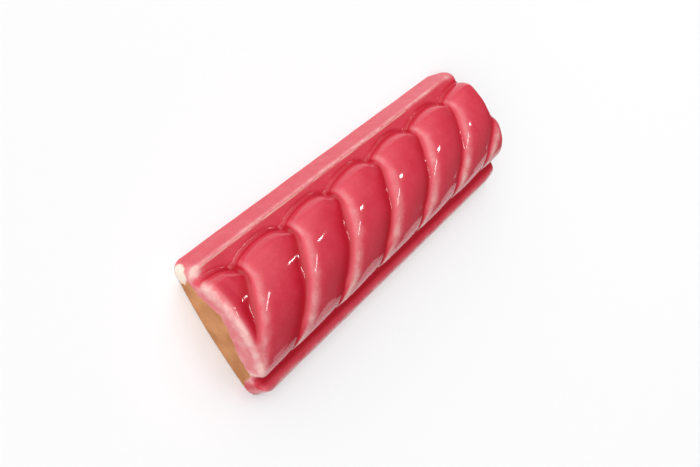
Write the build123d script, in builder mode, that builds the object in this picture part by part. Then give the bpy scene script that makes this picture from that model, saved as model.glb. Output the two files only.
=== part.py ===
from build123d import *
from math import ceil, cos, radians, tan
import os

# Rope moulding tile: one pressed and fired piece of glazed clay that trims a
# run of wall tiles. A rope of leaning strands lies along the middle, with a
# plain band on each side that meets the field tiles.
# Millimetres. X runs along the rope, Y across it, Z out of the wall, with the
# flat back at Z = 0 and the origin in the middle of the back.

# Overall format
tile_length = 150.0
tile_width = 52.0
crown_height = 20.85

# Plain bands: each side wall leans in from the back up to a softened arris
arris_height = 8.15
arris_inset = 2.8
arris_soft = 0.7
corner_round = 3.0

# Strands: round bars, each bent once over the crown with a straight leg down
# to either side, set askew and repeated at a pitch. The first groove's place
# is measured from the near end, on the crown.
strand_radius = 15.0
bend_radius = 33.0
leg_slope = 30.0
strand_lean = 21.2
strand_pitch = 23.6
first_groove = 3.45

# Half-round that rounds over the ends of the rope and clears its crown
cap_radius = 21.15
cap_clearance = 0.6
end_round = 2.5

os.makedirs("parts", exist_ok=True)

half_length = tile_length / 2
half_width = tile_width / 2
near_end = Plane.YZ.offset(-half_length)

# The strand's centre line: its two legs would meet at the peak, and each runs
# down until the whole strand is below the back
peak_height = crown_height - strand_radius + bend_radius * (1 / cos(radians(leg_slope)) - 1)
leg_foot = -strand_radius
leg_reach = (peak_height - leg_foot) / tan(radians(leg_slope))

strand_number = ceil(tile_length / strand_pitch) + 3
first_crown = -half_length + first_groove - 1.5 * strand_pitch
strand_places = [
    Location((first_crown + place * strand_pitch, 0, 0), (0, 0, strand_lean))
    for place in range(strand_number)
]

# One strand, over the origin and along X
with BuildPart() as strand:
    with BuildLine(Plane.XZ) as strand_line:
        FilletPolyline(
            (-leg_reach, leg_foot),
            (0, peak_height),
            (leg_reach, leg_foot),
            radius=bend_radius,
        )
    with BuildSketch(Plane(strand_line.wire() @ 0, z_dir=strand_line.wire() % 0)):
        Circle(strand_radius)
    sweep(path=strand_line.wire())

# The strands side by side, where neighbours meet in a groove that crosses the
# crown askew
with BuildPart() as strands:
    with Locations(*strand_places):
        add(strand.part)

# The rope: the strands cut to length, rounded over at both ends and cut off
# at the back
with BuildPart() as rope:
    with BuildSketch(near_end):
        with Locations((0, crown_height + cap_clearance - cap_radius)):
            Circle(cap_radius)
    extrude(amount=tile_length)
    fillet(rope.edges().filter_by(GeomType.CIRCLE), end_round)
    add(strands.part, mode=Mode.INTERSECT)
    split(bisect_by=Plane.XY, keep=Keep.TOP)

# The body with its two bands, rounded at its corners and softened along its
# arrises, and the rope fused into it
with BuildPart() as tile:
    with BuildSketch(near_end):
        with BuildLine():
            Polyline(
                (-half_width, 0),
                (half_width, 0),
                (half_width - arris_inset, arris_height),
                (-half_width + arris_inset, arris_height),
                close=True,
            )
        make_face()
    extrude(amount=tile_length)
    ends = tile.faces().filter_by(Axis.X)
    fillet(ends.edges().filter_by(Axis.Y, reverse=True), corner_round)
    chamfer(tile.faces().sort_by(Axis.Z)[-1].edges(), arris_soft)
    add(rope.part)

tile.part.label = "rope_moulding_tile"
export_step(tile.part, "parts/rope_moulding_tile.step")
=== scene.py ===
"""Rope moulding tile: a pressed, glazed and fired clay trim tile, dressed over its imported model."""

import logging
import math
from dataclasses import dataclass
from enum import Enum
from typing import Any, Mapping, Sequence

import bmesh
import bpy
import numpy as np
from mathutils import Matrix, Vector


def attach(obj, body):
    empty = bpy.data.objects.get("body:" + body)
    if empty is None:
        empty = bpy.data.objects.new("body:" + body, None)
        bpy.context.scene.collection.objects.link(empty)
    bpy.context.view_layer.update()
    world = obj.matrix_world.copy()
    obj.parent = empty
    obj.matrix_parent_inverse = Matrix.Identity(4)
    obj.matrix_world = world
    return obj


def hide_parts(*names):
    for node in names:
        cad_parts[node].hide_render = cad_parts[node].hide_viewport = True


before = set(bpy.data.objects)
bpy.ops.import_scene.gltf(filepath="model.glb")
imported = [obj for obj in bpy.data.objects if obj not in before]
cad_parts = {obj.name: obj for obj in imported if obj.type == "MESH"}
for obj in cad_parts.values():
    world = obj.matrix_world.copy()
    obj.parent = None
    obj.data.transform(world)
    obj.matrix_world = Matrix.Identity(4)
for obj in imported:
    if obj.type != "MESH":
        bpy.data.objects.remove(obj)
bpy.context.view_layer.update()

LOG = logging.getLogger("rope_moulding_tile")

MM = 0.001
IMAGE_WIDTH = 700
NOISE_MIDDLE = 0.5


class TileEnd(Enum):
    """The two short ends of the tile, by the side of the middle they are on."""

    NEAR = -1
    FAR = 1


def linear(hex_colour: str) -> tuple[float, float, float, float]:
    """Turn an sRGB hex colour into linear RGBA.

    Args:
        hex_colour: Six hex digits, red first.

    Returns:
        The linear colour, with an alpha of one.
    """
    parts = [int(hex_colour[start:start + 2], 16) / 255 for start in (0, 2, 4)]
    red, green, blue = [
        part / 12.92 if part <= 0.04045 else ((part + 0.055) / 1.055) ** 2.4
        for part in parts
    ]
    return (red, green, blue, 1.0)


def add_node(
    tree: bpy.types.NodeTree,
    kind: str,
    settings: Mapping[str, Any] | None = None,
    inputs: Mapping[Any, Any] | None = None,
) -> bpy.types.Node:
    """Add one node with its settings, and set or link its inputs.

    Args:
        tree: The node tree of a material or world.
        kind: The node's type name.
        settings: Values for the node's own properties.
        inputs: Sockets by name or number, each with a value or an output to link.

    Returns:
        The new node.
    """
    node = tree.nodes.new(kind)
    for name, value in (settings or {}).items():
        setattr(node, name, value)
    for name, value in (inputs or {}).items():
        if isinstance(value, bpy.types.NodeSocket):
            tree.links.new(value, node.inputs[name])
        else:
            node.inputs[name].default_value = value
    return node


def round_union(first: np.ndarray, second: np.ndarray, radius: float | np.ndarray) -> np.ndarray:
    """Join two distance fields with a hollow fillet of the given radius."""
    inside = np.hypot(np.maximum(radius - first, 0), np.maximum(radius - second, 0))
    return np.maximum(np.minimum(first, second), radius) - inside


def round_meet(first: np.ndarray, second: np.ndarray, radius: float | np.ndarray) -> np.ndarray:
    """Cut one distance field by another, with an edge rounded to the given radius."""
    outside = np.hypot(np.maximum(first + radius, 0), np.maximum(second + radius, 0))
    return np.minimum(np.maximum(first, second), -radius) + outside


@dataclass(frozen=True)
class Softness:
    """Radii, in millimetres, of the tile's hollows and edges."""

    groove: float
    cove: float
    end_rim: float
    arris: float
    corner: float


# The pressed form itself, the level the glaze would fill its hollows to, and
# the rounder form it shrinks back to from the edges
PRESSED = Softness(groove=1.0, cove=1.1, end_rim=2.2, arris=0.7, corner=3.2)
POOLED = Softness(groove=1.0, cove=2.4, end_rim=2.2, arris=0.7, corner=3.2)
BROKEN = Softness(groove=1.0, cove=1.6, end_rim=4.6, arris=2.0, corner=4.2)


@dataclass(frozen=True)
class FiredClay:
    """Fired earthenware body, pressed and left bare: a matt, gritty ochre with paler grog."""

    body: str = "C68958"
    shade: str = "AE7040"
    grog: str = "D8AE86"
    roughness: float = 0.85
    ior: float = 1.5
    grog_mm: float = 1.1
    cloud_mm: float = 7.0
    # The parts of the noise that turn the body's tone and that show as flecks
    cloud_range: tuple[float, float] = (0.35, 0.65)
    fleck_range: tuple[float, float] = (0.58, 0.95)
    grain_strength: float = 0.5
    grain_depth_mm: float = 0.2

    def dress(self, tree: bpy.types.NodeTree, place: bpy.types.NodeSocket) -> tuple:
        """Add the clay's colour and grain to a material.

        Args:
            tree: The material's node tree.
            place: The object's coordinates.

        Returns:
            The outputs for colour and for the height of the grain.
        """
        cloud = add_node(tree, "ShaderNodeTexNoise", inputs={
            "Vector": place, "Scale": 1 / (self.cloud_mm * MM), "Detail": 3.0,
        })
        grain = add_node(tree, "ShaderNodeTexNoise", inputs={
            "Vector": place, "Scale": 1 / (self.grog_mm * MM), "Detail": 4.0, "Roughness": 0.65,
        })
        tone = add_node(tree, "ShaderNodeMapRange", inputs={
            "Value": cloud.outputs["Fac"],
            "From Min": self.cloud_range[0], "From Max": self.cloud_range[1],
        })
        ground = add_node(tree, "ShaderNodeMix", {"data_type": "RGBA"}, {
            "Factor": tone.outputs["Result"], 6: linear(self.shade), 7: linear(self.body),
        })
        fleck = add_node(tree, "ShaderNodeMapRange", inputs={
            "Value": grain.outputs["Fac"],
            "From Min": self.fleck_range[0], "From Max": self.fleck_range[1],
        })
        colour = add_node(tree, "ShaderNodeMix", {"data_type": "RGBA"}, {
            "Factor": fleck.outputs["Result"], 6: ground.outputs[2], 7: linear(self.grog),
        })
        return colour.outputs[2], grain.outputs["Fac"]

    def material(self) -> bpy.types.Material:
        """Make the material of the bare back.

        Returns:
            The material.
        """
        made = bpy.data.materials.new("bare_fired_clay")
        made.use_nodes = True
        tree = made.node_tree
        tree.nodes.clear()
        place = add_node(tree, "ShaderNodeTexCoord").outputs["Object"]
        colour, grain = self.dress(tree, place)
        bump = add_node(tree, "ShaderNodeBump", inputs={
            "Strength": self.grain_strength, "Distance": self.grain_depth_mm * MM, "Height": grain,
        })
        surface = add_node(tree, "ShaderNodeBsdfPrincipled", inputs={
            "Base Color": colour, "Roughness": self.roughness, "IOR": self.ior,
            "Normal": bump.outputs["Normal"],
        })
        add_node(tree, "ShaderNodeOutputMaterial", inputs={"Surface": surface.outputs["BSDF"]})
        return made


@dataclass(frozen=True)
class PinkGlaze:
    """Translucent lead-type glaze over pale slip, fired glossy.

    It is pale where it drew back from an edge, pink on the open faces and deep
    crimson where it gathered in the hollows. The pale line along the left arris and
    the pale spot by the near left corner also hold a painted highlight.
    """

    stops: tuple[tuple[float, str], ...] = (
        (0.00, "E8B8B0"),
        (0.15, "DE9696"),
        (0.30, "D3686F"),
        (0.45, "CE4050"),
        (0.58, "C63042"),
        (0.75, "BC1C31"),
        (0.92, "B00C23"),
    )
    slip: str = "E4D6C7"
    # Pale line along the left arris: glaze run thin, with a painted highlight
    edge_line: str = "E6CDB8"
    slip_spot: str = "D89A8E"
    roughness: float = 0.07
    slip_roughness: float = 0.45
    ior: float = 1.5
    ripple_mm: float = 4.0
    mottle_mm: float = 5.0
    speck_mm: float = 0.8
    ragged_mm: float = 3.0
    # The depths that count as thin and full, and how far mottling shifts each
    thin_and_full: tuple[float, float] = (0.10, 0.45)
    mottle_shift: tuple[float, float] = (0.75, 0.22)
    speck_shift: float = 0.10
    # How far from the arris its pale line starts and is whole, in millimetres,
    # and the part of the mottle that breaks it
    line_fade: tuple[float, float] = (0.30, 0.08)
    line_breaks: tuple[float, float] = (0.40, 0.55)
    # The glaze's and the slip's edges, in millimetres either side of their lines
    ragged_swing: float = 3.2
    glaze_edge: tuple[float, float] = (-0.15, 0.25)
    slip_edge: tuple[float, float] = (-0.3, 0.5)
    blush_range: tuple[float, float] = (0.55, 0.68)
    clay_bump: float = 0.6
    ripple_bump: float = 0.03
    bump_depth_mm: float = 0.25

    def material(self, clay: FiredClay) -> bpy.types.Material:
        """Make the glazed material, with bare clay where the glaze stops.

        Args:
            clay: The clay that shows past the glaze.

        Returns:
            The material.
        """
        made = bpy.data.materials.new("pink_glaze_on_earthenware")
        made.use_nodes = True
        tree = made.node_tree
        tree.nodes.clear()
        place = add_node(tree, "ShaderNodeTexCoord").outputs["Object"]
        depth = add_node(tree, "ShaderNodeAttribute", {"attribute_name": "glaze_depth_and_glint"}).outputs["Fac"]
        cover = add_node(tree, "ShaderNodeAttribute", {"attribute_name": "glaze_cover"}).outputs["Fac"]
        slip = add_node(tree, "ShaderNodeAttribute", {"attribute_name": "slip_cover"}).outputs["Fac"]
        arris = add_node(tree, "ShaderNodeAttribute", {"attribute_name": "arris_line"}).outputs["Fac"]

        # The depth of glaze, mottled and lightly specked
        mottle = add_node(tree, "ShaderNodeTexNoise", inputs={
            "Vector": place, "Scale": 1 / (self.mottle_mm * MM), "Detail": 4.0, "Roughness": 0.6,
        })
        speck = add_node(tree, "ShaderNodeTexNoise", inputs={
            "Vector": place, "Scale": 1 / (self.speck_mm * MM), "Detail": 2.0,
        })
        unevenness = add_node(tree, "ShaderNodeMapRange", inputs={
            "Value": depth,
            "From Min": self.thin_and_full[0], "From Max": self.thin_and_full[1],
            "To Min": self.mottle_shift[0], "To Max": self.mottle_shift[1],
        })
        patch = add_node(tree, "ShaderNodeMath", {"operation": "SUBTRACT"}, {
            0: mottle.outputs["Fac"], 1: NOISE_MIDDLE,
        })
        mottled = add_node(tree, "ShaderNodeMath", {"operation": "MULTIPLY_ADD"}, {
            0: patch.outputs[0], 1: unevenness.outputs["Result"], 2: depth,
        })
        specked = add_node(tree, "ShaderNodeMath", {"operation": "MULTIPLY_ADD"}, {
            0: speck.outputs["Fac"], 1: self.speck_shift, 2: mottled.outputs[0],
        })
        settled = add_node(tree, "ShaderNodeMath", {"operation": "SUBTRACT"}, {
            0: specked.outputs[0], 1: self.speck_shift / 2,
        })
        ramp = add_node(tree, "ShaderNodeValToRGB", inputs={"Fac": settled.outputs[0]})
        stops = ramp.color_ramp.elements
        while len(stops) < len(self.stops):
            stops.new(0.5)
        for stop, (place_on_ramp, colour) in zip(stops, self.stops):
            stop.position = place_on_ramp
            stop.color = linear(colour)

        # The broken pale line along the sharp arris: glaze run thin, with a painted highlight
        thin_glaze_and_glint = add_node(tree, "ShaderNodeMapRange", inputs={
            "Value": arris,
            "From Min": self.line_fade[0], "From Max": self.line_fade[1],
        })
        breaks = add_node(tree, "ShaderNodeMapRange", inputs={
            "Value": mottle.outputs["Fac"],
            "From Min": self.line_breaks[0], "From Max": self.line_breaks[1],
        })
        streak = add_node(tree, "ShaderNodeMath", {"operation": "MULTIPLY"}, {
            0: thin_glaze_and_glint.outputs["Result"], 1: breaks.outputs["Result"],
        })
        lined = add_node(tree, "ShaderNodeMix", {"data_type": "RGBA"}, {
            "Factor": streak.outputs[0], 6: ramp.outputs["Color"], 7: linear(self.edge_line),
        })

        # The ragged line where the glaze stops
        ragged = add_node(tree, "ShaderNodeTexNoise", inputs={
            "Vector": place, "Scale": 1 / (self.ragged_mm * MM), "Detail": 3.0,
        })
        drift = add_node(tree, "ShaderNodeMath", {"operation": "MULTIPLY_ADD"}, {
            0: ragged.outputs["Fac"], 1: self.ragged_swing, 2: -self.ragged_swing / 2,
        })
        glaze_line = add_node(tree, "ShaderNodeMath", inputs={0: cover, 1: drift.outputs[0]})
        glazed = add_node(tree, "ShaderNodeMapRange", inputs={
            "Value": glaze_line.outputs[0],
            "From Min": self.glaze_edge[0], "From Max": self.glaze_edge[1],
        })
        slip_line = add_node(tree, "ShaderNodeMath", inputs={0: slip, 1: drift.outputs[0]})
        slipped = add_node(tree, "ShaderNodeMapRange", inputs={
            "Value": slip_line.outputs[0],
            "From Min": self.slip_edge[0], "From Max": self.slip_edge[1],
        })
        clay_colour, grain = clay.dress(tree, place)
        covered = add_node(tree, "ShaderNodeMix", {"data_type": "RGBA"}, {
            "Factor": glazed.outputs["Result"], 6: clay_colour, 7: lined.outputs[2],
        })
        blush = add_node(tree, "ShaderNodeMapRange", inputs={
            "Value": mottle.outputs["Fac"],
            "From Min": self.blush_range[0], "From Max": self.blush_range[1],
        })
        slip_colour = add_node(tree, "ShaderNodeMix", {"data_type": "RGBA"}, {
            "Factor": blush.outputs["Result"], 6: linear(self.slip), 7: linear(self.slip_spot),
        })
        colour = add_node(tree, "ShaderNodeMix", {"data_type": "RGBA"}, {
            "Factor": slipped.outputs["Result"], 6: covered.outputs[2], 7: slip_colour.outputs[2],
        })

        # Gloss on the glaze, none on the clay and a little on the slip
        glossy = add_node(tree, "ShaderNodeMapRange", inputs={
            "Value": glazed.outputs["Result"], "To Min": clay.roughness, "To Max": self.roughness,
        })
        roughness = add_node(tree, "ShaderNodeMix", {"data_type": "FLOAT"}, {
            "Factor": slipped.outputs["Result"], 2: glossy.outputs["Result"], 3: self.slip_roughness,
        })
        ripple = add_node(tree, "ShaderNodeTexNoise", inputs={
            "Vector": place, "Scale": 1 / (self.ripple_mm * MM), "Detail": 1.0,
        })
        height = add_node(tree, "ShaderNodeMix", {"data_type": "FLOAT"}, {
            "Factor": glazed.outputs["Result"], 2: grain, 3: ripple.outputs["Fac"],
        })
        strength = add_node(tree, "ShaderNodeMapRange", inputs={
            "Value": glazed.outputs["Result"], "To Min": self.clay_bump, "To Max": self.ripple_bump,
        })
        bump = add_node(tree, "ShaderNodeBump", inputs={
            "Strength": strength.outputs["Result"], "Distance": self.bump_depth_mm * MM,
            "Height": height.outputs[0],
        })
        surface = add_node(tree, "ShaderNodeBsdfPrincipled", inputs={
            "Base Color": colour.outputs[2], "Roughness": roughness.outputs[0], "IOR": self.ior,
            "Normal": bump.outputs["Normal"],
        })
        add_node(tree, "ShaderNodeOutputMaterial", inputs={"Surface": surface.outputs["BSDF"]})
        return made


@dataclass
class RopeTile:
    """The tile: plain bands, leaning strands and soft ends, in millimetres."""

    length: float = 150.0
    width: float = 52.0
    crown_height: float = 20.75
    arris_height: float = 8.15
    arris_inset: float = 2.8
    # The strands are round bars, each bent once over the crown and set askew
    strand_radius: float = 15.0
    bend_radius: float = 33.0
    leg_slope: float = 30.0
    strand_lean: float = 21.2
    strand_pitch: float = 23.6
    first_groove: float = 3.45
    # How far the hand-pressed strands sit off an even pitch, first strand first
    strand_shifts: tuple[float, ...] = (0.0, 1.0, 0.8, -0.7, -1.1, -0.7, 0.2, 0.6, 0.0, 0.0)
    # To the right of this line the strands lean further
    skew_line: float = 1.0
    right_skew: float = 0.16
    # Each strand stands up along its near side and slopes away on its far side,
    # less so at its foot and towards the far end
    strand_lip: float = 0.8
    lip_skew: float = 0.7
    lip_at_foot: float = 0.3
    lip_at_far_end: float = 0.4
    rope_rise: float = 5.0
    # The strands are full at their shoulders and draw in at their feet, where
    # they meet the bands
    shoulder: float = 0.7
    shoulder_place: float = 12.0
    shoulder_width: float = 4.4
    left_shoulder: float = 0.6
    left_shoulder_place: float = 16.5
    left_shoulder_width: float = 2.6
    foot_tuck: float = 0.4
    right_foot_tuck: float = 0.5
    foot_reach: float = 2.6
    # On the left each strand ends in a round lobe that drops steeply to the
    # band, and the next strand dives under it
    lobe_inner: float = 15.4
    lobe_outer: float = 19.5
    lobe_round: float = 2.4
    lobe_fullness: float = 0.7
    lobe_steepness: float = 0.85
    lobe_swell: float = 0.2
    lobe_blend: float = 2.5
    dive_start: float = 11.5
    dive: float = 0.9
    right_dive: float = 0.15
    # The line on the rope's upper flank that the lobes are set out from
    lobe_line: float = 13.0
    lobe_level: float = 15.0
    # On the right the grooves run out on a round flank with a tighter edge
    run_out: float = 0.8
    run_out_start: float = 8.0
    run_out_width: float = 8.0
    flank_radius: float = 20.1
    flank_middle: float = 0.3
    right_reach: float = 16.2
    right_bulge: float = 0.1
    right_round: float = 1.0
    # The right band is a round bead with a channel beside the rope
    bead: float = 1.6
    bead_overhang: float = 0.5
    channel: float = 0.45
    channel_place: float = 19.3
    channel_width: float = 2.0
    # The near end bows out, its right corner is rounder, and the glaze and the
    # press leave its grooves shallow
    near_end_bow: float = 1.3
    near_right_corner: float = 5.0
    shallow_reach: float = 6.0
    shallow_fill: float = 0.9
    shallow_width: float = 1.6
    # The far end is hollow and worn rounder, its grooves run out over its rim
    # and its lower edge turns under
    far_end_hollow: float = 0.9
    far_corner: float = 2.2
    far_band_rim: float = 2.6
    far_rope_rim: float = 3.4
    worn_reach: float = 9.0
    worn_margin: float = 1.5
    far_arris: float = 2.2
    far_notch: float = 1.6
    far_notch_width: float = 2.0
    far_lower_edge: float = 4.4
    lower_edge_margin: float = 0.3
    # The slow and quick waves of a form pressed by hand
    hand_wobble: float = 0.08
    slow_waves: tuple[float, float] = (6.1, 5.3)
    slow_starts: tuple[float, float] = (0.7, 0.4)
    quick_waves: tuple[float, float, float] = (2.9, 3.7, 3.1)
    quick_share: float = 0.6
    # The mesh: the end fans start this far in from the ends, and lines cast from
    # inside the tile are this long and halved this often
    fan_depth: float = 12.0
    row_step: float = 0.42
    column_count: int = 181
    fan_count: int = 62
    cast_length: float = 34.0
    cast_halvings: int = 24
    quarter_turn_tries: int = 1500

    def strand_distances(self, points: np.ndarray) -> np.ndarray:
        """Measure points against each strand.

        Args:
            points: Places in millimetres, one a row.

        Returns:
            Signed distances to the strands, one strand a row.
        """
        lean = math.radians(self.strand_lean)
        slope = math.radians(self.leg_slope)
        first_crown = -self.length / 2 + self.first_groove - 1.5 * self.strand_pitch
        rise = points[:, 2] - (self.crown_height - self.strand_radius - self.bend_radius)
        skewed = self.right_skew * np.clip(self.skew_line - points[:, 1], 0, None)
        distances = []
        for number, shift in enumerate(self.strand_shifts):
            ahead = points[:, 0] + skewed - (first_crown + number * self.strand_pitch + shift)
            along = np.abs(ahead * math.cos(lean) + points[:, 1] * math.sin(lean))
            across = points[:, 1] * math.cos(lean) - ahead * math.sin(lean)
            bend = np.hypot(along, rise)
            leg = along * math.sin(slope) + rise * math.cos(slope)
            on_bend = along * math.cos(slope) <= rise * math.sin(slope)
            out = np.where(on_bend, bend, leg) - self.bend_radius
            distances.append(np.hypot(out, across) - self.strand_radius)
        return np.stack(distances)

    def over_flank(self, points: np.ndarray) -> np.ndarray:
        """Find the places on the rope's upper flank that are straight across from points.

        Args:
            points: Places in millimetres, one a row.

        Returns:
            The places on the flank, on the points' own sides.
        """
        above = points.copy()
        above[:, 1] = np.sign(points[:, 1]) * self.lobe_line
        above[:, 2] = self.lobe_level
        return above

    def lobed_distances(self, points: np.ndarray) -> np.ndarray:
        """Measure points against each strand, with the lobes at the strands' ends.

        Args:
            points: Places in millimetres, one a row.

        Returns:
            Distances to the strands, one strand a row.
        """
        distances = self.strand_distances(points)
        higher = self.strand_distances(self.over_flank(points))
        two_nearest = np.sort(higher, axis=0)[:2]
        blend = np.clip((two_nearest[1] - two_nearest[0]) / self.lobe_blend, 0, 1)
        outward = np.clip(np.abs(points[:, 1]) - self.dive_start, 0, None) * blend
        own = higher == two_nearest[0]
        dive = np.where(points[:, 1] < 0, self.right_dive, self.dive)
        return distances + outward * np.where(own, -self.lobe_swell, dive)

    def across_strands(self, distances: np.ndarray) -> tuple[np.ndarray, np.ndarray, np.ndarray]:
        """Find where points lie across the strand they are nearest to.

        Args:
            distances: The points' distances to the strands, one strand a row.

        Returns:
            The distance to that strand, how much further off the next strand
            is, and the way across it, 0 at its near groove and 1 at its far one.
        """
        number = distances.argmin(axis=0)
        column = np.arange(distances.shape[1])
        nearest = distances[number, column]
        before = distances[np.maximum(number - 1, 0), column] - nearest
        after = distances[np.minimum(number + 1, len(distances) - 1), column] - nearest
        return nearest, np.minimum(before, after), before / (before + after + 1e-9)

    def rise(self, points: np.ndarray) -> np.ndarray:
        """Say how far up the rope places are, 0 at the bands' level and 1 well above it."""
        return np.clip((points[:, 2] - self.arris_height) / self.rope_rise, 0, 1)

    def onward(self, points: np.ndarray) -> np.ndarray:
        """Say how far along the tile places are, 0 at the near end and 1 at the far end."""
        return np.clip(points[:, 0] / self.length + 0.5, 0, 1)

    def worn(self, points: np.ndarray) -> np.ndarray:
        """Say how worn places are, in a smooth step from 0 along the tile to 1 at the far end.

        Args:
            points: Places in millimetres, one a row.

        Returns:
            The wear.
        """
        past_start = points[:, 0] - self.length / 2 + self.worn_reach
        part = np.clip(past_start / (self.worn_reach - self.worn_margin), 0, 1)
        return part ** 2 * (3 - 2 * part)

    def wobble(self, points: np.ndarray) -> np.ndarray:
        """Give the slow unevenness of a form pressed by hand, never outwards.

        Args:
            points: Places in millimetres, one a row.

        Returns:
            How far the form falls short there, in millimetres.
        """
        slow_along = np.sin(points[:, 0] / self.slow_waves[0] + self.slow_starts[0])
        slow_across = np.cos(points[:, 1] / self.slow_waves[1] + self.slow_starts[1])
        along, across, upward = (points / np.array(self.quick_waves)).T
        waves = slow_along * slow_across + self.quick_share * np.sin(along - across + upward)
        return self.hand_wobble * (1 + waves / (1 + self.quick_share))

    def wall_distance(self, points: np.ndarray) -> np.ndarray:
        """Measure points against the two leaning side walls.

        Args:
            points: Places in millimetres, one a row.

        Returns:
            Signed distances, negative between the walls.
        """
        slant = math.hypot(self.arris_height, self.arris_inset)
        beyond = np.abs(points[:, 1]) - self.width / 2
        out = beyond * self.arris_height + points[:, 2] * self.arris_inset
        overhang = np.where(points[:, 1] < 0, self.bead_overhang, 0.0)
        return out / slant - overhang * np.clip(points[:, 2] / self.arris_height, 0, 1)

    def rope_distance(self, points: np.ndarray, soft: Softness) -> tuple[np.ndarray, np.ndarray]:
        """Measure points against the rope.

        Args:
            points: Places in millimetres, one a row.
            soft: The radii of the hollows and edges.

        Returns:
            Signed distances, negative inside the rope, and how far the points
            are from a groove.
        """
        across = points[:, 1]
        height = points[:, 2]
        nearest, gap, way = self.across_strands(self.lobed_distances(points))
        rope = round_union(nearest, nearest + gap, soft.groove)

        # The grooves run out on the right flank
        flank = np.hypot(across, height - self.flank_middle) - self.flank_radius
        run_out = self.run_out * np.clip((-across - self.run_out_start) / self.run_out_width, 0, 1)
        rope = rope + run_out * (flank - rope)

        # Raised near sides, hollowed far sides, and shallow grooves at the near end
        lip = self.strand_lip * (self.lip_at_foot + (1 - self.lip_at_foot) * self.rise(points))
        lip = lip * (1 - (1 - self.lip_at_far_end) * self.onward(points)) * (1 - run_out)
        shallow = np.clip(1 - (points[:, 0] + self.length / 2) / self.shallow_reach, 0, 1)
        rope = rope - lip * (1 - shallow) * np.sin(2 * math.pi * way ** self.lip_skew)
        rope = rope - self.shallow_fill * shallow * np.exp(-(gap / self.shallow_width) ** 2)

        # Full shoulders and drawn-in feet
        beside = (np.abs(across) - self.shoulder_place) / self.shoulder_width
        rope = rope - self.shoulder * np.exp(-beside ** 2)
        beside_left = (across - self.left_shoulder_place) / self.left_shoulder_width
        rope = rope - self.left_shoulder * np.exp(-beside_left ** 2)
        tuck = np.where(across < 0, self.right_foot_tuck, self.foot_tuck)
        rope = rope + tuck * np.exp(-((height - self.arris_height) / self.foot_reach) ** 2)

        # The lobes that the strands end in
        higher = self.strand_distances(self.over_flank(points))
        bulge = np.sin(math.pi * self.across_strands(higher)[2]) ** self.lobe_fullness
        left_reach = self.lobe_inner + (self.lobe_outer - self.lobe_inner) * bulge
        reach = np.where(across < 0, self.right_reach + self.right_bulge * bulge, left_reach)
        edge_round = np.where(across < 0, self.right_round, self.lobe_round)
        rope = round_meet(rope, self.lobe_steepness * (np.abs(across) - reach), edge_round)
        return rope, gap

    def band_distance(self, points: np.ndarray, soft: Softness) -> np.ndarray:
        """Measure points against the low body whose top is the two bands.

        Args:
            points: Places in millimetres, one a row.
            soft: The radii of the hollows and edges.

        Returns:
            Signed distances, negative inside the body.
        """
        right = np.where(points[:, 1] < 0, 1.0, 0.0)
        aside = (np.abs(points[:, 1]) - self.channel_place) / self.channel_width
        top = points[:, 2] - self.arris_height + self.channel * right * np.exp(-aside ** 2)
        arris = soft.arris + self.bead * right + self.far_arris * self.worn(points)
        return round_meet(self.wall_distance(points), top, arris)

    def end_distance(self, points: np.ndarray, gap: np.ndarray) -> np.ndarray:
        """Measure points against the two ends, the near one bowed and the far one hollow.

        Args:
            points: Places in millimetres, one a row.
            gap: How far the points are from a groove.

        Returns:
            Signed distances, negative between the ends.
        """
        sideways = (2 * points[:, 1] / self.width) ** 2
        notch = self.far_notch * self.rise(points) * np.exp(-(gap / self.far_notch_width) ** 2)
        hollow = self.far_end_hollow * (1 - sideways) + notch
        inset = np.where(points[:, 0] < 0, self.near_end_bow * sideways, hollow)
        return np.abs(points[:, 0]) - self.length / 2 + inset

    def surface(self, points: np.ndarray, soft: Softness) -> np.ndarray:
        """Measure points against the whole tile.

        Args:
            points: Places in millimetres, one a row.
            soft: The radii of the hollows and edges.

        Returns:
            Signed distances, negative inside the clay.
        """
        rope, gap = self.rope_distance(points, soft)
        body = round_union(rope, self.band_distance(points, soft), soft.cove)
        end = self.end_distance(points, gap)
        near = points[:, 0] < 0
        far_rim = self.far_band_rim + (self.far_rope_rim - self.far_band_rim) * self.rise(points)
        body = round_meet(body, end, np.where(near, soft.end_rim, far_rim))
        lower_edge = self.far_lower_edge * self.worn(points)
        body = round_meet(body, -points[:, 2] - self.lower_edge_margin, lower_edge)
        near_corner = np.where(points[:, 1] > 0, soft.corner, self.near_right_corner)
        corner = np.where(near, near_corner, self.far_corner)
        sides = round_meet(self.wall_distance(points), end, corner)
        return np.maximum(body, sides) + self.wobble(points)

    def cast(self, starts: np.ndarray, aims: np.ndarray) -> np.ndarray:
        """Follow straight lines from inside the tile out to its surface.

        Args:
            starts: Where the lines start, in millimetres.
            aims: Their directions, of unit length.

        Returns:
            Where the lines leave the clay.
        """
        low = np.zeros(len(starts))
        high = np.full(len(starts), self.cast_length)
        for _ in range(self.cast_halvings):
            middle = (low + high) / 2
            outside = self.surface(starts + aims * middle[:, None], PRESSED) > 0
            high = np.where(outside, middle, high)
            low = np.where(outside, low, middle)
        return starts + aims * low[:, None]

    def even_angles(self, fan: bool, count: int) -> np.ndarray:
        """Choose angles that leave even steps over the surface.

        Args:
            fan: True for the crown line over an end, False for a cross-section.
            count: How many angles.

        Returns:
            Angles in radians, from the first edge to the last.
        """
        if fan:
            angles = np.linspace(0, math.pi / 2, self.quarter_turn_tries)
            start = (self.length / 2 - self.fan_depth, 0, 0)
            aims = np.stack([np.sin(angles), 0 * angles, np.cos(angles)], axis=1)
        else:
            angles = np.linspace(-math.pi / 2, math.pi / 2, 2 * self.quarter_turn_tries)
            start = (0, 0, 0)
            aims = np.stack([0 * angles, np.sin(angles), np.cos(angles)], axis=1)
        line = self.cast(np.tile(np.array(start, dtype=float), (len(angles), 1)), aims)
        steps = np.linalg.norm(np.diff(line, axis=0), axis=1)
        travel = np.concatenate([[0.0], np.cumsum(steps)])
        return np.interp(np.linspace(0, travel[-1], count), travel, angles)

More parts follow.
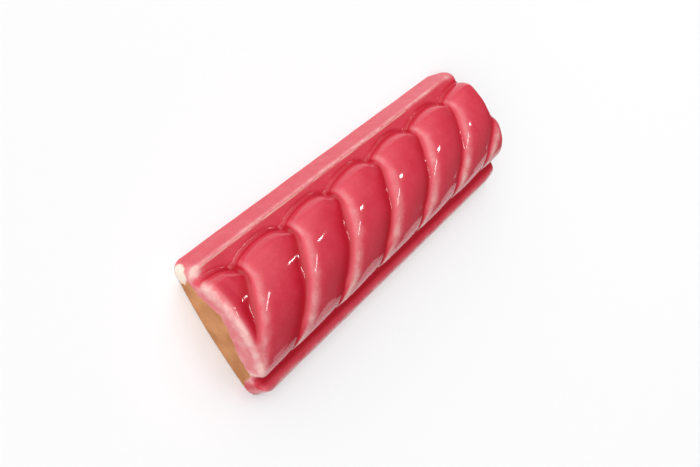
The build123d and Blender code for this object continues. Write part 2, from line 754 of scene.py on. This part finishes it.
    def rows(self) -> np.ndarray:
        """Lay out the surface in rows across the tile, from the near end to the far end.

        Returns:
            Places in millimetres, by row and column; the end points are left out.
        """
        turns = self.even_angles(False, self.column_count)
        tips = self.even_angles(True, self.fan_count + 1)[:-1]
        fan_start = self.length / 2 - self.fan_depth
        middle = np.linspace(-fan_start, fan_start, round(2 * fan_start / self.row_step))
        starts = np.concatenate([np.full(self.fan_count - 1, -fan_start), middle,
                                 np.full(self.fan_count - 1, fan_start)])
        tilts = np.concatenate([-tips[:0:-1], np.zeros(len(middle)), tips[1:]])
        tilt, turn = np.meshgrid(tilts, turns, indexing="ij")
        level = np.cos(tilt)
        aims = np.stack([np.sin(tilt), level * np.sin(turn), level * np.cos(turn)], axis=-1)
        origin = np.zeros_like(aims)
        origin[..., 0] = starts[:, None]
        places = self.cast(origin.reshape(-1, 3), aims.reshape(-1, 3)).reshape(aims.shape)
        places[:, 0, 2] = 0.0
        places[:, -1, 2] = 0.0
        return places

    def build(self) -> bpy.types.Object:
        """Build the tile's mesh: the rows, a point at each end and the flat back.

        Returns:
            The tile.
        """
        rows = self.rows()
        row_count, column_count = rows.shape[:2]
        ways = np.array([[float(end.value), 0, 0] for end in TileEnd])
        tips = self.cast(ways * (self.length / 2 - self.fan_depth), ways)
        points = np.concatenate([rows.reshape(-1, 3), tips])
        mesh = bpy.data.meshes.new("rope_moulding_tile_glazed")
        form = bmesh.new()
        corners = [form.verts.new(Vector(point) * MM) for point in points]
        near_tip, far_tip = corners[-2:]

        def at(row: int, column: int) -> bmesh.types.BMVert:
            """Find the mesh corner at a row and column."""
            return corners[row * column_count + column]

        last_row = row_count - 1
        last_column = column_count - 1
        for row in range(last_row):
            for column in range(last_column):
                form.faces.new((at(row, column), at(row + 1, column),
                                at(row + 1, column + 1), at(row, column + 1)))
        for column in range(last_column):
            form.faces.new((near_tip, at(0, column), at(0, column + 1)))
            form.faces.new((far_tip, at(last_row, column + 1), at(last_row, column)))
        back = [
            form.faces.new((at(row, 0), at(row, last_column), at(row + 1, last_column), at(row + 1, 0)))
            for row in range(last_row)
        ]
        back.append(form.faces.new((near_tip, at(0, last_column), at(0, 0))))
        back.append(form.faces.new((far_tip, at(last_row, 0), at(last_row, last_column))))
        bmesh.ops.recalc_face_normals(form, faces=form.faces)
        for face in form.faces:
            face.smooth = True
        for face in back:
            face.material_index = 1
            for edge in face.edges:
                edge.smooth = len({near.material_index for near in edge.link_faces}) == 1
        form.to_mesh(mesh)
        form.free()
        for name, values in GlazeLay(self).layers(points).items():
            mesh.attributes.new(name, "FLOAT", "POINT").data.foreach_set("value", values)
        tile = bpy.data.objects.new("rope_moulding_tile_glazed", mesh)
        bpy.context.collection.objects.link(tile)
        return tile

    def dress(self, tile: bpy.types.Object) -> None:
        """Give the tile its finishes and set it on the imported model.

        Args:
            tile: The tile's object.
        """
        clay = FiredClay()
        tile.data.materials.append(PinkGlaze().material(clay))
        tile.data.materials.append(clay.material())
        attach(tile, "root")
        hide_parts("rope_moulding_tile")


@dataclass(frozen=True)
class GlazeLay:
    """How the glaze lay on the tile as it melted, with painted highlights on its pale arris line and
    corner spot: steps of depth, and widths in millimetres.
    """

    shape: RopeTile
    # What each feature adds to the depth on an open face, or takes off it
    open_face: float = 0.45
    on_rope: float = 0.07
    on_band: float = 0.02
    in_groove: float = 0.36
    on_far_slope: float = 0.12
    in_channel: float = 0.52
    pool_limit: float = 0.30
    off_lip: float = 0.20
    off_near_end: float = 0.17
    off_edge: float = 0.24
    off_arris: float = 0.15
    off_corner: float = 0.30
    # The grooves' share at the near end, and how much of it is lost at the far end
    near_share: float = 1.3
    share_lost: float = 0.8
    # Ways across a strand, 0 at its near groove and 1 at its far one
    lip_place: float = 0.15
    lip_width: float = 0.12
    slope_start: float = 0.45
    slope_width: float = 0.5
    far_half: float = 0.5
    # How much more the lips lose this far to the right
    right_lip: float = 1.2
    right_lip_reach: float = 14.0
    # How wide the features are, and how their edges fade
    far_groove_width: float = 2.4
    near_groove_width: float = 0.7
    rope_fade: float = 1.5
    end_margin: float = 1.5
    end_fade: float = 3.0
    near_end_reach: float = 1.6
    edge_start: float = 0.05
    arris_width: float = 0.9
    arris_drop: float = 1.6
    band_margin: float = 0.6
    band_fade: float = 0.4
    band_edge: float = 1.5
    channel_width: float = 1.4
    # The pale spot by the near left corner, thin glaze with a painted highlight:
    # its insets from the end and the side, and its size
    corner_inset: tuple[float, float] = (3.0, 4.5)
    corner_width: float = 2.2
    # Where the glaze stops on each end: places across the tile and their levels
    near_stop: tuple[tuple[float, float], ...] = (
        (-22, -3), (-17, 3), (-15, 8), (-7, 8.6), (2, 11.7),
        (8, 12.6), (11, 9.8), (15, 6.8), (20, 4.5), (26, 2),
    )
    far_stop: tuple[tuple[float, float], ...] = (
        (-26, -3), (-20, 4), (-12, 9), (0, 8), (9, 11), (16, 6), (22, -3),
    )
    rim_inset: float = 2.4
    rim_steepness: float = 3.0
    # A distance past every line, where nothing of it shows
    far_off: float = 9.0
    # The pale line along the left arris, thin glaze with a painted highlight: its inset,
    # how it fades to the far end and how far below and above the arris it shows
    line_inset: float = 0.9
    line_fade: float = 9.0
    line_fade_limit: float = 2.0
    line_below: float = 1.5
    line_above: float = 0.5
    # The bare slip at the near left corner: its insets from the end and the
    # side, its level, its radius and its squash along each axis
    slip_inset: tuple[float, float] = (1.5, 3.6)
    slip_level: float = 1.8
    slip_radius: float = 3.2
    slip_squash: tuple[float, float, float] = (0.8, 1.0, 0.9)

    def arris_distance(self, points: np.ndarray) -> np.ndarray:
        """Say how far places lie past the arris, down the wall more than zero and on top less."""
        return self.shape.wall_distance(points) - points[:, 2] + self.shape.arris_height

    def depth(self, points: np.ndarray) -> np.ndarray:
        """Say how deep the glaze lies: 0 broken pale, about 0.4 on open faces, 1 pooled, with a painted
        highlight by the near left corner.

        Args:
            points: Places on the surface, in millimetres.

        Returns:
            The depths.
        """
        shape = self.shape
        along, across, height = points.T
        pooled = np.clip(-shape.surface(points, POOLED), 0, None)
        broken = np.clip(shape.surface(points, BROKEN), 0, None)
        gap, way = shape.across_strands(shape.lobed_distances(points))[1:]
        inward = shape.length / 2 - np.abs(along)
        off_ends = np.clip((inward - self.end_margin) / self.end_fade, 0, 1)

        # The strands: deep in their grooves, darker down their far slopes and paler on their lips
        on_rope = np.clip((height - shape.arris_height) / self.rope_fade, 0, 1) * off_ends
        groove_width = np.where(way > self.far_half, self.far_groove_width, self.near_groove_width)
        groove = np.exp(-(gap / groove_width) ** 2) * on_rope
        far_slope = np.clip((way - self.slope_start) / self.slope_width, 0, 1) * on_rope
        share = self.near_share - self.share_lost * shape.onward(points)
        lip = np.exp(-((way - self.lip_place) / self.lip_width) ** 2) * on_rope
        lip = lip * (1 + self.right_lip * np.clip(-across / self.right_lip_reach, 0, 1))
        depth = self.open_face + self.on_rope * on_rope
        depth = depth + share * (self.in_groove * groove + self.on_far_slope * far_slope)
        depth = depth - self.off_lip * lip

        # The hollows, the near end and the rounded edges
        depth = depth + np.clip(pooled, 0, self.pool_limit)
        on_near_end = np.clip(self.near_end_reach - along - shape.length / 2, 0, 1)
        depth = depth - self.off_near_end * on_near_end
        depth = depth - self.off_edge * np.clip(broken - self.edge_start, 0, 1)

        # The bands: deep in the channel, thin along the arrises, and by the corner thin with a painted
        # highlight
        edge = self.arris_distance(points)
        arris = np.exp(-(edge / self.arris_width) ** 2)
        arris = arris * np.exp(-((height - shape.arris_height) / self.arris_drop) ** 2)
        on_band = np.clip((shape.arris_height + self.band_margin - height) / self.band_fade, 0, 1)
        on_top = np.clip(-edge / self.band_edge, 0, 1) * on_band * off_ends
        in_channel = np.exp(-((across + shape.channel_place) / self.channel_width) ** 2) * on_band
        depth = depth + self.in_channel * in_channel
        # Pale spot by the near left corner: thin glaze with a painted highlight
        end_inset, side_inset = self.corner_inset
        corner = (end_inset - shape.length / 2, shape.width / 2 - side_inset, shape.arris_height)
        thin_spot_and_glint = np.exp(-np.sum(((points - np.array(corner)) / self.corner_width) ** 2, axis=1))
        return depth - self.off_arris * arris - self.off_corner * thin_spot_and_glint + self.on_band * on_top

    def cover(self, points: np.ndarray) -> np.ndarray:
        """Say how far inside the glaze a place lies, in millimetres, less than zero on bare clay.

        Args:
            points: Places on the surface, in millimetres.

        Returns:
            The distances, rough ones away from the glaze's edge.
        """
        cover = np.full(len(points), self.far_off)
        for end, stop_line in ((TileEnd.NEAR, self.near_stop), (TileEnd.FAR, self.far_stop)):
            across, levels = np.array(stop_line, dtype=float).T
            above = points[:, 2] - np.interp(points[:, 1], across, levels)
            inward = self.shape.length / 2 - end.value * points[:, 0]
            past_rim = self.rim_steepness * (inward - self.rim_inset)
            cover = np.minimum(cover, np.maximum(above, past_rim))
        return cover

    def arris_line(self, points: np.ndarray) -> np.ndarray:
        """Say how far places lie from the pale line along the left arris, thin glaze with a painted
        highlight.

        Args:
            points: Places on the surface, in millimetres.

        Returns:
            The distances in millimetres, longer than they are where the line fades out.
        """
        along, across, height = points.T
        arris_height = self.shape.arris_height
        line = self.arris_distance(points) + self.line_inset
        fade = np.clip((along - self.shape.length / 4) / self.line_fade, 0, self.line_fade_limit)
        fade = fade + np.where(across < 0, self.far_off, 0.0)
        fade = fade + self.far_off * np.clip(arris_height - self.line_below - height, 0, 1)
        fade = fade + self.far_off * np.clip(height - arris_height - self.line_above, 0, 1)
        return np.abs(line) + fade

    def slip_cover(self, points: np.ndarray) -> np.ndarray:
        """Say how far inside the bare slip at the near left corner a place lies.

        Args:
            points: Places on the surface, in millimetres.

        Returns:
            The distances in millimetres, less than zero outside the slip.
        """
        end_inset, side_inset = self.slip_inset
        corner = (-self.shape.length / 2 + end_inset, self.shape.width / 2 - side_inset, self.slip_level)
        reach = (points - np.array(corner)) / np.array(self.slip_squash)
        return self.slip_radius - np.linalg.norm(reach, axis=1)

    def layers(self, points: np.ndarray) -> dict[str, np.ndarray]:
        """Work out all that the glaze's material reads from the mesh.

        Args:
            points: Places on the surface, in millimetres.

        Returns:
            The values by the names that the material knows them by.
        """
        return {
            "glaze_depth_and_glint": self.depth(points),
            "glaze_cover": self.cover(points),
            "slip_cover": self.slip_cover(points),
            "arris_line": self.arris_line(points),
        }


@dataclass
class StudioFloor:
    """A plain pale sheet that the tile lies on, just clear of its back, in metres."""

    side: float = 6.0
    drop: float = 0.0002
    colour: str = "F6F6F7"
    roughness: float = 0.9
    ior: float = 1.4

    def build(self) -> bpy.types.Object:
        """Build the floor.

        Returns:
            The floor.
        """
        mesh = bpy.data.meshes.new("studio_floor")
        half = self.side / 2
        mesh.from_pydata([(-half, -half, 0), (half, -half, 0), (half, half, 0), (-half, half, 0)],
                         [], [(0, 1, 2, 3)])
        floor = bpy.data.objects.new("studio_floor", mesh)
        floor.location.z = -self.drop
        bpy.context.collection.objects.link(floor)
        paper = bpy.data.materials.new("matt_white_paper")
        paper.use_nodes = True
        paper.node_tree.nodes.clear()
        surface = add_node(paper.node_tree, "ShaderNodeBsdfPrincipled", inputs={
            "Base Color": linear(self.colour), "Roughness": self.roughness, "IOR": self.ior,
        })
        add_node(paper.node_tree, "ShaderNodeOutputMaterial", inputs={"Surface": surface.outputs["BSDF"]})
        mesh.materials.append(paper)
        return floor


@dataclass
class SoftBox:
    """One rectangular studio light, in metres and watts."""

    name: str
    place: tuple[float, float, float]
    size: tuple[float, float]
    power: float
    long_way: tuple[float, float, float] = (0.0, 0.0, 1.0)
    aim: tuple[float, float, float] = (0.0, 0.0, 0.0)

    def build(self) -> bpy.types.Object:
        """Build the light and turn it to its aim, its long side as near to its long way as it can be.

        Returns:
            The light.
        """
        lamp = bpy.data.lights.new(self.name, "AREA")
        lamp.shape = "RECTANGLE"
        lamp.size, lamp.size_y = self.size
        lamp.energy = self.power
        light = bpy.data.objects.new(self.name, lamp)
        back = (Vector(self.place) - Vector(self.aim)).normalized()
        side = Vector(self.long_way).cross(back).normalized()
        turn = Matrix((side, back.cross(side), back)).transposed().to_4x4()
        light.matrix_world = Matrix.Translation(Vector(self.place)) @ turn
        bpy.context.collection.objects.link(light)
        return light


@dataclass
class Studio:
    """Plain soft light: a pale room, brighter to one side, and two small boxes for the gleams."""

    room: str = "FFFFFF"
    dim_side: float = 0.17
    bright_side: float = 1.75
    bright_from: tuple[float, float, float] = (-0.50, 0.60, 0.62)
    # The parts of the way round to the bright side where it starts and is full
    bright_range: tuple[float, float] = (0.0, 0.9)
    boxes: tuple[SoftBox, ...] = (
        SoftBox(
            "gleam_box", place=(0.807, 0.20, 0.875), size=(0.035, 0.11), power=0.42,
            long_way=(0.870, -0.6, -0.657),
        ),
        SoftBox("overhead_strip", place=(0.37, 0.09, 0.92), size=(0.03, 0.34), power=0.75),
    )

    def build(self) -> None:
        """Set the room's light and hang the boxes."""
        scene = bpy.context.scene
        scene.view_settings.view_transform = "Standard"
        scene.world = bpy.data.worlds.new("pale_room")
        scene.world.use_nodes = True
        tree = scene.world.node_tree
        tree.nodes.clear()
        way = add_node(tree, "ShaderNodeTexCoord").outputs["Generated"]
        facing = add_node(tree, "ShaderNodeVectorMath", {"operation": "DOT_PRODUCT"}, {
            0: way, 1: Vector(self.bright_from).normalized(),
        })
        strength = add_node(tree, "ShaderNodeMapRange", {"interpolation_type": "SMOOTHSTEP"}, {
            "Value": facing.outputs["Value"],
            "From Min": self.bright_range[0], "From Max": self.bright_range[1],
            "To Min": self.dim_side, "To Max": self.bright_side,
        })
        light = add_node(tree, "ShaderNodeBackground", inputs={
            "Color": linear(self.room), "Strength": strength.outputs["Result"],
        })
        add_node(tree, "ShaderNodeOutputWorld", inputs={"Surface": light.outputs["Background"]})
        for box in self.boxes:
            box.build()
            LOG.info("light %s", box.name)


@dataclass
class ViewCamera:
    """The viewing angle, in millimetres, with the lens in pixels of the 700 pixel wide image."""

    place: tuple[float, float, float] = (-167.40, 73.35, 197.84)
    aim: tuple[float, float, float] = (-15.75, -0.03, 10.0)
    top: tuple[float, float, float] = (0.52459, 0.84627, 0.09290)
    focal_pixels: float = 733.0
    sensor_width: float = 36.0
    nearest: float = 10.0

    def build(self) -> bpy.types.Object:
        """Build the camera and make it the scene's own.

        Returns:
            The camera.
        """
        lens = bpy.data.cameras.new("viewing_angle")
        lens.sensor_width = self.sensor_width
        lens.lens = self.focal_pixels * self.sensor_width / IMAGE_WIDTH
        lens.clip_start = self.nearest * MM
        camera = bpy.data.objects.new("viewing_angle", lens)
        back = (Vector(self.place) - Vector(self.aim)).normalized()
        right = Vector(self.top).cross(back).normalized()
        upward = back.cross(right)
        turn = Matrix((right, upward, back)).transposed().to_4x4()
        camera.matrix_world = Matrix.Translation(Vector(self.place) * MM) @ turn
        bpy.context.collection.objects.link(camera)
        bpy.context.scene.camera = camera
        return camera


def main() -> None:
    """Build the tile and the studio round it."""
    logging.basicConfig(level=logging.INFO)
    maker = RopeTile()
    tile = maker.build()
    maker.dress(tile)
    LOG.info("piece %s, %d faces", tile.name, len(tile.data.polygons))
    LOG.info("stage %s", StudioFloor().build().name)
    Studio().build()
    LOG.info("camera %s", ViewCamera().build().name)


if __name__ == "__main__":
    main()
